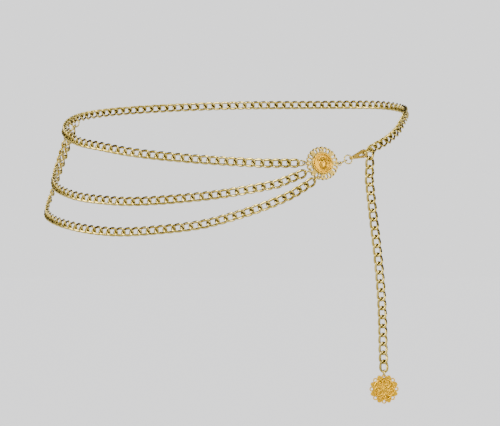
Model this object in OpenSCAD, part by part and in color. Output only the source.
// Waist chain: a curb chain that goes once round the waist, two swags across the front,
// a pierced medallion, a lobster clasp, and a tail of chain that ends in a pendant.
// +Z is up, +X is the wearer's left (a viewer's right), and the front faces -Y.
// The origin is the middle of the waist loop.

/* [Waist and hips] */
// Width of the waist, at waist_rise above the origin
waist_w = 252; // [220:1:290]
// Height of that waist above the origin
waist_rise = 130; // [110:1:160]
// Width of the hips, at hip_drop below the origin
hip_w = 334; // [300:1:380]
// Depth of the hips below the origin
hip_drop = 150; // [130:1:180]
// Front to back measure of the body, for each millimetre of its width
body_depth = 0.7; // [0.6:0.01:0.8]
// Space between the body and the back of the chain
skin_gap = 0.3; // [0:0.1:1]

/* [Curb chain] */
// Width of a link, over the wire
link_w = 6.9; // [6.5:0.1:7.5]
// Step from one link to the next
link_pitch = 6.9; // [6.6:0.1:7.6]
// Diameter of the link wire
wire_d = 1.5; // [1.3:0.05:1.55]
// Play between two links that hold each other
link_play = 0.45; // [0.4:0.05:0.6]
// Angle of each link to the lie of the chain, to either side in turn
link_tilt = 30; // [29:1:34]
// Links in the tail that hangs from the clasp
tail_links = 25; // [15:1:35]

/* [Jump rings] */
// Diameter of the jump ring wire
ring_wire_d = 1.1; // [0.9:0.05:1.15]
// Diameter of the two rings beside the clasp, at the middle of the wire
clasp_ring_d = 6.8; // [6.4:0.1:7.5]
// Diameter of the rings that hold the strands, at the middle of the wire
strand_ring_d = 6; // [5:0.1:6.2]
// Diameter of the ring that holds the pendant, at the middle of the wire
pendant_ring_d = 5; // [5:0.1:5.6]
// Play between a ring and what it holds
ring_play = 0.18; // [0.15:0.01:0.25]

/* [Medallion] */
// Diameter of the medallion, over the scallops
medal_d = 26.4; // [25:0.1:28]
// Thickness of its pierced border
medal_t = 1.6; // [1.4:0.1:1.8]
// Diameter of the solid disc in its middle
medal_disc_d = 16.2; // [15:0.1:16.6]
// Length of a slot in the border
slot_l = 3; // [2.6:0.1:3.2]
// Width of a slot in the border
slot_w = 1.5; // [1.45:0.05:1.6]
// Metal left outside a slot
slot_rim = 1.2; // [1:0.1:1.4]
// Diameter of the four round holes in the border
border_hole_d = 1.2; // [0.8:0.1:1.4]
// Diameter of the hole in each of the two eyelets
eyelet_hole_d = 2.2; // [2.1:0.05:2.4]
// Metal round an eyelet's hole
eyelet_wall = 0.75; // [0.7:0.05:1]
// Thickness of an eyelet
eyelet_t = 1; // [0.8:0.1:1.1]
// Height of the relief above the disc
relief_h = 1.1; // [0.6:0.1:1.6]

/* [Clasp] */
// Length of the clasp, from its eye to the end of the claw
clasp_l = 15.8; // [15:0.1:17]
// Thickness of the clasp
clasp_t = 2.4; // [2.2:0.1:2.6]
// Diameter of the opening in the claw
claw_d = 2.8; // [2.7:0.1:3.6]
// Width of the claw's arm
claw_arm = 2; // [1.6:0.1:2.1]
// Diameter of the hole in the clasp's eye
eye_hole_d = 2.1; // [2:0.1:2.3]
// Width of the clasp at its eye
eye_w = 2.4; // [2:0.1:2.6]
// Diameter of the lever's rivet
rivet_d = 0.9; // [0.7:0.1:1]
// Thickness of the lever where it goes between the ears of the body
lever_tongue_t = 0.9; // [0.7:0.1:1]
// Play round the lever
lever_play = 0.18; // [0.15:0.01:0.25]
// Angle that the lever opens through
lever_turn = 12; // [8:1:14]

/* [Pendant] */
// Diameter of the pendant, over the lobes
pendant_d = 22.8; // [20:0.1:26]
// Thickness of the pendant's plate
pendant_t = 1.5; // [1.3:0.1:1.7]
// Diameter of the eight holes in the pendant's rim
pendant_hole_d = 1.9; // [1.8:0.05:2.2]
// Metal round a rim hole
pendant_hole_wall = 0.9; // [0.7:0.05:1.1]
// Height of the pendant's relief
pendant_relief_h = 0.9; // [0.5:0.1:1.3]

/* [Hidden] */

// Routes of the chains on the body. Each point is [degrees round the body from the front,
// to the wearer's left, height above the origin].
waist_route = [[8, -5.5], [-6, -3.5], [-20, -0.5], [-34, 3.5], [-47, 8.5], [-60, 13], [-74, 20],
               [-90, 27.5], [-110, 37], [-140, 45], [-175, 50], [-210, 50], [-240, 48],
               [-262, 43], [-277, 38], [-287, 31.5], [-296, 22], [-305, 13.5]];
middle_route = [[12, -21], [3.5, -25.5], [-5, -29.2], [-14.5, -32], [-24.5, -34], [-34, -34.5],
                [-44, -33], [-54, -30.5], [-64, -26.5], [-73, -22.4], [-80.5, -17.6], [-86.5, -12],
                [-91.2, -4.5], [-94.2, 5]];
lower_route = [[16.2, -29], [9, -37], [0, -45.2], [-10, -52.3], [-21, -56], [-33, -58],
               [-45, -56.5], [-58, -52.5], [-70, -48], [-80, -43.8], [-87, -38.5], [-92.7, -30],
               [-96.7, -18], [-99.3, -6], [-101.3, 5], [-103, 15]];
tail_route = [[43.1, -18], [42.6, -36], [42.3, -56], [42.15, -76], [41.9, -110], [41.7, -148],
              [42.7, -190], [43.4, -230]];

// Where the medallion sits, and the point that the clasp's line aims at
medal_place = [26.3, -5.3];
clasp_aim = [38, 0];
claw_aim = [46, 5];
// Degrees that the tail and the pendant are turned from the front
tail_turn = 6;
// Links of the waist chain that hold the ends of the two swags
middle_side_link = 37;
lower_side_link = 39;
// Links that are part of the front half of the waist chain
front_links = 50;
// Slots of the medallion's border stand in fours, at these degrees from each quarter,
// and each swag's ring goes through one of them
slot_steps = [-30, -15, 15, 30];
slot_angles = [for (quarter = [0:3]) for (a = slot_steps) quarter * 90 + a];
middle_slot = 11;
lower_slot = 13;

// Shape of the body that the chain lies on
function ease(u) = let (v = min(max(u, 0), 1)) v * v * (3 - 2 * v);
function half_w(z) = (waist_w + (hip_w - waist_w) * ease((waist_rise - z) / (waist_rise + hip_drop))) / 2;
function on_body(angle, z, lift = chain_lift) =
    let (a = half_w(z)) [(a + lift) * sin(angle), -(a * body_depth + lift) * cos(angle), z];
function unit(v) = v / norm(v);
// Way out of the body at a place: the two ways along the skin, crossed
function way_out(angle, z) =
    unit(cross(on_body(angle + 1, z) - on_body(angle - 1, z), on_body(angle, z + 1) - on_body(angle, z - 1)));
function angle_of(p) = atan2(p.x / half_w(p.z), -p.y / (half_w(p.z) * body_depth));
function out_at(p) = way_out(angle_of(p), p.z);

// A frame is [origin, x, y, z]: x along the chain, z away from the body
function frame(origin, x, out) =
    let (ux = unit(x), uy = unit(cross(out, ux))) [origin, ux, uy, cross(ux, uy)];
function in_frame(f, p) = f[0] + f[1] * p.x + f[2] * p.y + f[3] * p.z;
function turned(f, a) = [f[0], f[1], f[2] * cos(a) + f[3] * sin(a), f[3] * cos(a) - f[2] * sin(a)];
function moved(f, p) = [in_frame(f, p), f[1], f[2], f[3]];
module place(f) {
    multmatrix([for (r = [0:2]) [f[1][r], f[2][r], f[3][r], f[0][r]]]) children();
}

// Smooth line through points, and places along it by length
function knot(p, i) = p[min(max(i, 0), len(p) - 1)];
function between(a, b, c, d, t) =
    (2 * b + (c - a) * t + (2 * a - 5 * b + 4 * c - d) * t * t + (3 * b - a - 3 * c + d) * t * t * t) / 2;
function smooth(p, steps) = [
    for (i = [0:len(p) - 2]) for (k = [0:steps - 1])
        between(knot(p, i - 1), p[i], p[i + 1], knot(p, i + 2), k / steps),
    p[len(p) - 1]];
function lengths(p) = [for (i = 0, s = 0; i < len(p); s = s + (i + 1 < len(p) ? norm(p[i + 1] - p[i]) : 0),
                            i = i + 1) s];
function tables(p) = let (s = lengths(p)) [for (r = [0:2]) [for (i = [0:len(p) - 1]) [s[i], p[i][r]]]];
function at(t, s) = [for (r = [0:2]) lookup(s, t[r])];
function skin_points(route) = [for (p = smooth(route, 4)) on_body(p.x, p.y)];
// A route with its ends led in: the first and last ways are straight
function led(start, start_way, points, end, end_way) =
    smooth(concat([start, start + start_way * lead], points, [end - end_way * lead, end]), 5);

// One link: a flat ring of wire with two round ends
bow_r = (link_w - wire_d) / 2;
link_half = (link_pitch + wire_d + link_play) / 2;
side_half = link_half - bow_r;
chain_lift = bow_r * sin(link_tilt) + wire_d / 2 + skin_gap;
lead = 1.5 * link_pitch;

// Frames of the links along a line. Every second link leans the other way.
function link_count(length) = 1 + round((length - 2 * link_half) / link_pitch);
function lean(k) = k % 2 == 0 ? link_tilt : -link_tilt;
function link_frames(points, count, pitch) = let (t = tables(points)) [
    for (k = [0:count - 1]) let (s = link_half + k * pitch, c = at(t, s))
        frame(c, at(t, s + pitch / 2) - at(t, s - pitch / 2), out_at(c))];
function fitted(points) =
    let (length = lengths(points)[len(points) - 1], n = link_count(length))
    link_frames(points, n, (length - 2 * link_half) / (n - 1));
function leaned(frames) = [for (k = [0:len(frames) - 1]) turned(frames[k], lean(k))];

// Distances between the middles of two wires that hold each other
link_on_ring = (wire_d + ring_wire_d) / 2 + ring_play;
ring_on_ring = ring_wire_d + ring_play;
link_on_link = wire_d + link_play;

// Medallion, on the body
medal_r = medal_d / 2;
eyelet_r = eyelet_hole_d / 2 + eyelet_wall;
eyelet_x = medal_r + eyelet_hole_d / 2 + 0.25;
slot_end = medal_r - slot_rim;
medal_at = let (c = on_body(medal_place.x, medal_place.y), out = way_out(medal_place.x, medal_place.y))
    frame(c, [cos(angle_flat(out)), sin(angle_flat(out)), 0], out);
function angle_flat(out) = atan2(out.x, -out.y);
// Frame of a strand ring in the medallion: x leads to the first point of the strand's route
function medal_ring(r, slot_a, route) = let (
    hole = in_frame(medal_at, [r * cos(slot_a), r * sin(slot_a), 0]),
    way = on_body(route[0].x, route[0].y) - hole)
    moved(frame(hole, way, medal_at[3]), [strand_ring_d / 2, 0, 0]);
// How far a ring's wire curves away inside a hole through a plate
function ring_sag(mean_d, plate_t) = mean_d / 2 - sqrt(pow(mean_d / 2, 2) - pow(plate_t / 2, 2));
slot_ring_r = slot_end - ring_wire_d / 2 - 2 * ring_play - ring_sag(strand_ring_d, medal_t);
// The waist strand's ring leans with the first link that it holds
waist_ring_at = turned(medal_ring(eyelet_x - ring_play, 180, waist_route), lean(0));
middle_ring_at = medal_ring(slot_ring_r, slot_angles[middle_slot], middle_route);
lower_ring_at = medal_ring(slot_ring_r, slot_angles[lower_slot], lower_route);
// Where the first link's end lies inside such a ring
function link_start(ring) = in_frame(ring, [strand_ring_d / 2 - link_on_ring, 0, 0]);

// Rings and clasp, on a line from the medallion's second eyelet
second_eyelet = in_frame(medal_at, [eyelet_x - ring_play, 0, 0]);
clasp_line = unit(on_body(clasp_aim.x, clasp_aim.y) - second_eyelet);
line_out = out_at(second_eyelet + clasp_line * clasp_ring_d);
medallion_ring_at = moved(frame(second_eyelet, clasp_line, line_out), [clasp_ring_d / 2, 0, 0]);
clasp_ring_at = moved(medallion_ring_at, [clasp_ring_d - ring_on_ring, 0, 0]);
eye_at = in_frame(clasp_ring_at, [clasp_ring_d / 2, 0, 0]);
clasp_way = on_body(claw_aim.x, claw_aim.y) - eye_at;
clasp_at = frame(eye_at, clasp_way, out_at(eye_at + unit(clasp_way) * clasp_l / 2));
claw_r = claw_d / 2;
claw_outer_r = claw_r + claw_arm;
claw_x = clasp_l - claw_outer_r;
hook_x = claw_x + claw_r - wire_d / 2 - 2 * ring_play - (bow_r - sqrt(bow_r * bow_r - clasp_t * clasp_t / 4));

// Waist chain: from the medallion round the body to the claw
waist_start = link_start(waist_ring_at);
waist_end = in_frame(clasp_at, [hook_x, 0, 0]);
waist_line = led(waist_start, waist_ring_at[1], skin_points(waist_route), waist_end,
                 unit(waist_end - on_body(claw_aim.x + 6, claw_aim.y + 6)));
waist_frames = fitted(waist_line);
waist_links = len(waist_frames);
// The claw holds the last link, which stands on edge
hooked = turned(waist_frames[waist_links - 1], 90 * sign(lean(waist_links - 1)));
waist_leaned = concat([for (k = [0:waist_links - 2]) turned(waist_frames[k], lean(k))], [hooked]);

// Swags: from the medallion to rings that hang on links of the waist chain
function side_ring(k, route) = let (
    f = waist_frames[k],
    hold = in_frame(f, [0, bow_r * cos(lean(k)) - link_on_ring, bow_r * sin(lean(k))]),
    last = route[len(route) - 1])
    moved(frame(hold, on_body(last.x, last.y) - hold, f[3]), [strand_ring_d / 2, 0, 0]);
middle_side_at = side_ring(middle_side_link, middle_route);
lower_side_at = side_ring(lower_side_link, lower_route);
function swag_line(ring, route, side) =
    led(link_start(ring), ring[1], skin_points(route), link_start(side), -side[1]);
middle_frames = fitted(swag_line(middle_ring_at, middle_route, middle_side_at));
lower_frames = fitted(swag_line(lower_ring_at, lower_route, lower_side_at));

// Tail: its first link hangs over the front wire of the hooked link, beside the claw
down = [0, 0, -1];
tail_out = [sin(tail_turn), -cos(tail_turn), 0];
hooked_flat = waist_frames[waist_links - 1];
tail_hang = clasp_l - hook_x + wire_d / 2 + 4 * ring_play;
tail_start = in_frame(hooked_flat, [link_half - tail_hang, 0, bow_r]) - down * link_on_link;
tail_skin = skin_points(tail_route);
tail_line = smooth(concat([tail_start, tail_start + down * lead], tail_skin), 5);
tail_flat = [for (f = link_frames(tail_line, tail_links, link_pitch)) frame(f[0], f[1], tail_out)];
tail_first = frame(tail_flat[0][0], tail_flat[0][1], hooked_flat[1]);
tail_leaned = concat([tail_first], [for (k = [1:tail_links - 1]) turned(tail_flat[k], lean(k))]);

// Pendant: its ring goes round the end of the last link, and it hangs plumb
tail_end = in_frame(tail_flat[tail_links - 1], [link_half, 0, 0]);
pendant_ring_at = frame(tail_end + down * (pendant_ring_d / 2 - link_on_ring), down, tail_out);
pendant_pin = in_frame(pendant_ring_at, [pendant_ring_d / 2, 0, 0]);
pendant_hole_r = pendant_d / 2 - pendant_hole_wall - pendant_hole_d / 2;
hole_slack = pendant_hole_d / 2 - ring_wire_d / 2 - ring_play - ring_sag(pendant_ring_d, pendant_t);
pendant_at = frame(pendant_pin + down * (pendant_hole_r + hole_slack), [cos(tail_turn), sin(tail_turn), 0],
                   tail_out);

// Lever pivot and reach, in the clasp's frame
pivot = [clasp_l * 0.34, -0.5];
lever_reach = norm([hook_x, 0] - pivot) - wire_d / 2 - ring_play;
ear_r = 1.2;
ear_end = pivot.x + ear_r + 0.3;
tongue_l = ear_end - pivot.x + 1;
// Angle of the lever's top edge at rest, seen from the pivot
lever_top_a = -3;

pale_gold = [0.87, 0.80, 0.58];
warm_gold = [0.85, 0.68, 0.36];
rose_gold = [0.84, 0.60, 0.36];

module wire_ring(mean_d, wire) {
    rotate_extrude($fn = 48) translate([mean_d / 2, 0]) circle(d = wire, $fn = 24);
}

// A jump ring stands on edge to the body, and flat_ring lies flat
module edge_ring(f, mean_d) {
    place(f) rotate([90, 0, 0]) wire_ring(mean_d, ring_wire_d);
}

module link() {
    for (turn = [0, 180]) rotate([0, 0, turn]) translate([side_half, 0, 0]) rotate([0, 0, -90])
        rotate_extrude(angle = 180, $fn = 32) translate([bow_r, 0]) circle(d = wire_d, $fn = 24);
    for (side = [-1, 1]) translate([0, side * bow_r, 0]) rotate([0, 90, 0])
        cylinder(h = 2 * side_half, d = wire_d, center = true, $fn = 24);
}

module links(frames, first, last) {
    color(pale_gold) for (k = [first:last]) place(frames[k]) link();
}

module waist_chain_front() {
    links(waist_leaned, 0, front_links - 1);
}

module waist_chain_back() {
    links(waist_leaned, front_links, waist_links - 1);
}

module middle_strand() {
    links(leaned(middle_frames), 0, len(middle_frames) - 1);
}

module lower_strand() {
    links(leaned(lower_frames), 0, len(lower_frames) - 1);
}

module tail_chain() {
    links(tail_leaned, 0, tail_links - 1);
}

module around(count, start = 0) {
    for (k = [0:count - 1]) rotate(start + k * 360 / count) children();
}

module slot() {
    r = slot_w / 2;
    for (x = [slot_end - slot_l + r, slot_end - r]) translate([x, 0]) circle(r, $fn = 24);
    translate([slot_end - slot_l / 2, 0]) square([slot_l - slot_w, slot_w], center = true);
}

module medallion_border() {
    scallop_r = medal_r * 0.13;
    difference() {
        union() {
            circle(medal_r - scallop_r * 0.45, $fn = 96);
            around(24) translate([medal_r - scallop_r, 0]) circle(scallop_r, $fn = 24);
        }
        around(4) translate([slot_end - slot_l / 2, 0]) circle(d = border_hole_d, $fn = 24);
        for (a = slot_angles) rotate(a) slot();
    }
}

module eyelet() {
    translate([eyelet_x, 0]) difference() {
        circle(eyelet_r, $fn = 32);
        circle(d = eyelet_hole_d, $fn = 32);
    }
}

// A plain classical head with swept hair, in low relief
module medallion_head() {
    head_r = medal_disc_d * 0.22;
    scale([0.8, 1.05, relief_h / head_r]) sphere(head_r, $fn = 48);
    for (k = [0:3]) rotate([0, 0, -35 - 6 * k]) translate([-head_r * 0.1, 0, 0])
        rotate_extrude(angle = 190 - 18 * k, $fn = 48)
        translate([head_r * (1.02 + 0.24 * k), 0]) circle(relief_h * (0.5 - 0.06 * k), $fn = 24);
    translate([-head_r * 0.3, -head_r * 0.05, relief_h * 0.75]) rotate([0, 0, 6])
        scale([0.3, 1, 0.8]) sphere(head_r * 0.35, $fn = 32);
}

module medallion() {
    disc_r = medal_disc_d / 2;
    color(pale_gold) place(medal_at) {
        translate([0, 0, -medal_t / 2]) linear_extrude(medal_t) medallion_border();
        translate([0, 0, -eyelet_t / 2]) linear_extrude(eyelet_t) around(2) eyelet();
        translate([0, 0, -medal_t / 2]) cylinder(h = medal_t + 0.3, r = disc_r, $fn = 96);
        translate([0, 0, medal_t / 2 + 0.2]) rotate_extrude($fn = 96)
            translate([disc_r - 0.5, 0]) circle(0.6, $fn = 24);
        translate([0, 0, medal_t / 2 + 0.3]) intersection() {
            medallion_head();
            translate([0, 0, -medal_t / 2]) cylinder(h = 2 * relief_h + medal_t, r = disc_r - 0.6, $fn = 96);
        }
    }
}

module waist_strand_ring() {
    color(pale_gold) edge_ring(waist_ring_at, strand_ring_d);
}

module middle_strand_ring() {
    color(pale_gold) edge_ring(middle_ring_at, strand_ring_d);
}

module lower_strand_ring() {
    color(pale_gold) edge_ring(lower_ring_at, strand_ring_d);
}

module middle_side_ring() {
    color(pale_gold) edge_ring(middle_side_at, strand_ring_d);
}

module lower_side_ring() {
    color(pale_gold) edge_ring(lower_side_at, strand_ring_d);
}

module medallion_ring() {
    color(pale_gold) edge_ring(medallion_ring_at, clasp_ring_d);
}

module clasp_ring() {
    color(pale_gold) place(clasp_ring_at) wire_ring(clasp_ring_d, ring_wire_d);
}

// Outline of the closed clasp: a round claw and a shank that narrows to the eye
module clasp_outline() {
    translate([claw_x, 0]) circle(claw_outer_r, $fn = 64);
    polygon([[0.6, -eye_w / 2], [claw_x - 1.4, -claw_outer_r + 0.3], [claw_x - 1.4, claw_outer_r - 0.3],
             [0.6, eye_w / 2]]);
}

// A wedge from the pivot, under a line at an angle, that the lever fills or swings through
module mouth(reach, top_a) {
    far = 2 * clasp_l;
    intersection() {
        translate(pivot) circle(reach, $fn = 64);
        translate([ear_end, -2 * claw_outer_r]) square([clasp_l, 4 * claw_outer_r]);
        translate(pivot) polygon([[0, 0], [far * cos(top_a), far * sin(top_a)], [far, -far], [0, -far]]);
    }
}

module clasp_body() {
    color(rose_gold) place(clasp_at) difference() {
        union() {
            translate([0, 0, -clasp_t / 2]) linear_extrude(clasp_t) difference() {
                clasp_outline();
                translate([claw_x, 0]) circle(claw_r, $fn = 48);
                translate([0, lever_play]) mouth(lever_reach + 2 * lever_play, lever_top_a + lever_turn);
            }
            rotate([90, 0, 0]) cylinder(h = eye_w, d = eye_hole_d + 1.5, center = true, $fn = 32);
        }
        rotate([90, 0, 0]) cylinder(h = 2 * claw_outer_r, d = eye_hole_d, center = true, $fn = 32);
        translate([pivot.x, pivot.y, -clasp_t]) cylinder(h = 2 * clasp_t, d = rivet_d, $fn = 24);
        slot_t = lever_tongue_t + 2 * lever_play;
        translate([pivot.x - ear_r - lever_play, -2 * claw_outer_r, -slot_t / 2])
            cube([2 * ear_r + tongue_l, 2 * claw_outer_r + pivot.y + ear_r + lever_play, slot_t]);
    }
}

module clasp_rivet() {
    head_h = 0.15;
    color(rose_gold) place(clasp_at) translate([pivot.x, pivot.y, 0]) {
        cylinder(h = clasp_t + 2 * head_h, d = rivet_d - 0.02, center = true, $fn = 24);
        for (side = [-1, 1]) translate([0, 0, side * (clasp_t / 2 + head_h / 2 + 0.01)])
            cylinder(h = head_h, d = rivet_d + 0.5, center = true, $fn = 24);
    }
}

module clasp_lever() {
    bar_t = clasp_t - 0.6;
    tongue_w = 1.5;
    color(rose_gold) place(clasp_at) difference() {
        union() {
            translate([0, 0, -bar_t / 2]) linear_extrude(bar_t) difference() {
                intersection() {
                    clasp_outline();
                    mouth(lever_reach, lever_top_a);
                    translate([ear_end + lever_play, -2 * claw_outer_r]) square([clasp_l, 4 * claw_outer_r]);
                }
                translate([claw_x, 0]) circle(claw_r, $fn = 48);
            }
            translate([pivot.x, pivot.y, -lever_tongue_t / 2]) {
                cylinder(h = lever_tongue_t, r = ear_r, $fn = 32);
                translate([0, -ear_r, 0]) cube([tongue_l, tongue_w, lever_tongue_t]);
            }
        }
        translate([pivot.x, pivot.y, -clasp_t]) cylinder(h = 2 * clasp_t, d = rivet_d + 0.2, $fn = 24);
    }
}

module pendant_ring() {
    color(pale_gold) edge_ring(pendant_ring_at, pendant_ring_d);
}

module pendant_plate() {
    lobe_r = pendant_hole_d / 2 + pendant_hole_wall;
    difference() {
        union() {
            circle(pendant_hole_r + 0.3, $fn = 96);
            around(8, 90) translate([pendant_hole_r, 0]) circle(lobe_r, $fn = 32);
            around(8, 90 + 180 / 8) translate([pendant_hole_r, 0]) circle(lobe_r * 0.94, $fn = 32);
        }
        around(8, 90) translate([pendant_hole_r, 0]) circle(d = pendant_hole_d, $fn = 32);
    }
}

module pendant() {
    inner_r = pendant_hole_r - pendant_hole_d / 2 - 0.6;
    wire_r = pendant_relief_h * 0.55;
    color(rose_gold) place(pendant_at) {
        translate([0, 0, -pendant_t / 2]) linear_extrude(pendant_t) pendant_plate();
        translate([0, 0, pendant_t / 2]) {
            rotate_extrude($fn = 96) translate([inner_r, 0]) circle(wire_r, $fn = 24);
            around(8, 90) translate([inner_r * 0.58, 0, 0]) scale([1.5, 1, 1])
                rotate_extrude($fn = 32) translate([inner_r * 0.19, 0]) circle(wire_r * 0.8, $fn = 24);
            scale([1, 1, pendant_relief_h * 1.2 / (inner_r * 0.26)]) sphere(inner_r * 0.26, $fn = 32);
        }
    }
}

waist_chain_front();
waist_chain_back();
middle_strand();
lower_strand();
tail_chain();
medallion();
waist_strand_ring();
middle_strand_ring();
lower_strand_ring();
middle_side_ring();
lower_side_ring();
medallion_ring();
clasp_ring();
clasp_body();
clasp_rivet();
clasp_lever();
pendant_ring();
pendant();
